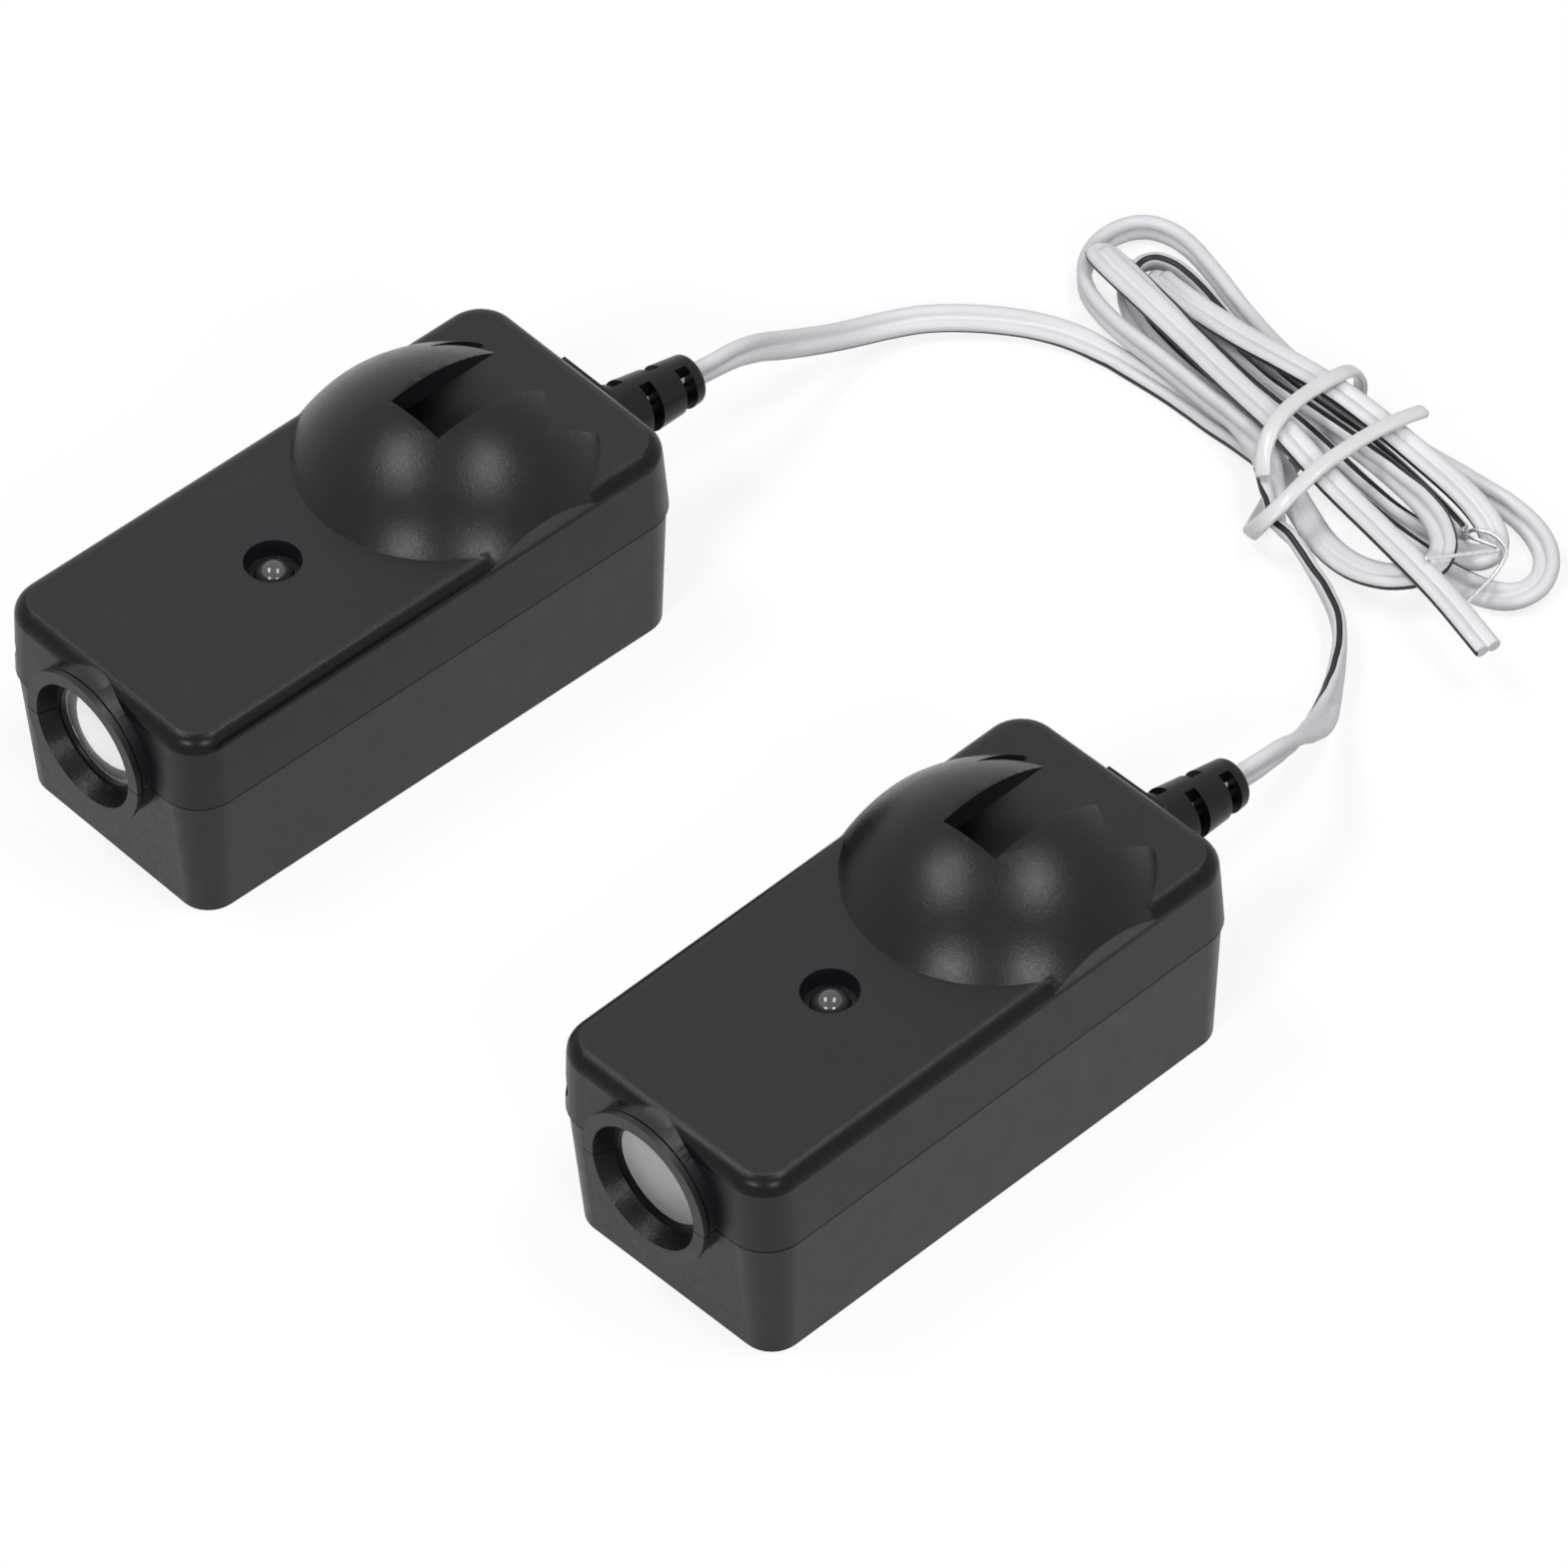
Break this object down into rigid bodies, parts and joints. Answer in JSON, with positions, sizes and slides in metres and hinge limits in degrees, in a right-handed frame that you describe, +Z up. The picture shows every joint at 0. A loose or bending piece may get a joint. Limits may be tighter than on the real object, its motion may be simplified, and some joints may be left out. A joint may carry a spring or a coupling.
{
  "type": "gate safety photocell",
  "caption": "Beam sender and receiver in small domed housings with a front lens, a bolt slot on top, and two-core cables gathered in a tied hank.",
  "frame": {"origin": "middle of the box of the two housings, on the surface they stand on", "axes": "+Z up, -Y the way the lenses look, +X from the sender to the receiver"},
  "size_m": [0.1434, 0.1779, 0.0405],
  "materials": {
    "housing_plastic": "black ABS, fine satin texture",
    "lens_clear": "clear polished acrylic",
    "lamp_clear": "clear epoxy lamp",
    "emitter_epoxy": "pale blue epoxy lamp",
    "holder_black": "black nylon",
    "board_green": "green solder mask",
    "chip_black": "moulded epoxy",
    "capacitor_sleeve": "dark blue sleeve",
    "resistor_body": "tan lacquer",
    "relief_rubber": "black soft PVC, satin",
    "core_insulation": "white soft PVC with one black tracer stripe on one core",
    "lens_grey": "milky grey acrylic",
    "detector_epoxy": "dark filter epoxy",
    "shield_tin": "tinned sheet",
    "bare_wire": "tinned copper",
    "tie_plastic": "milky white plastic-coated wire"
  },
  "bodies": {
    "root": {"sender_top_cover": "housing_plastic", "sender_bottom_shell": "housing_plastic", "sender_lens": "lens_clear", "sender_indicator_lamp": "lamp_clear", "sender_emitter_diode": "emitter_epoxy", "sender_diode_holder": "holder_black", "sender_circuit_board": "board_green", "sender_control_chip": "chip_black", "sender_capacitor": "capacitor_sleeve", "sender_transistor": "chip_black", "sender_resistors": "resistor_body", "sender_strain_relief": "relief_rubber", "sender_inner_leads": "core_insulation", "receiver_top_cover": "housing_plastic", "receiver_bottom_shell": "housing_plastic", "receiver_lens": "lens_grey", "receiver_indicator_lamp": "lamp_clear", "receiver_detector_diode": "detector_epoxy", "receiver_detector_shield": "shield_tin", "receiver_circuit_board": "board_green", "receiver_control_chip": "chip_black", "receiver_capacitor": "capacitor_sleeve", "receiver_transistor": "chip_black", "receiver_resistors": "resistor_body", "receiver_strain_relief": "relief_rubber", "receiver_inner_leads": "core_insulation", "sender_cable_run": "core_insulation", "receiver_cable_run": "core_insulation", "sender_hank_loops": "core_insulation", "receiver_hank_loops": "core_insulation", "bare_wire_ends": "bare_wire", "hank_tie": "tie_plastic"}
  },
  "joints": []
}
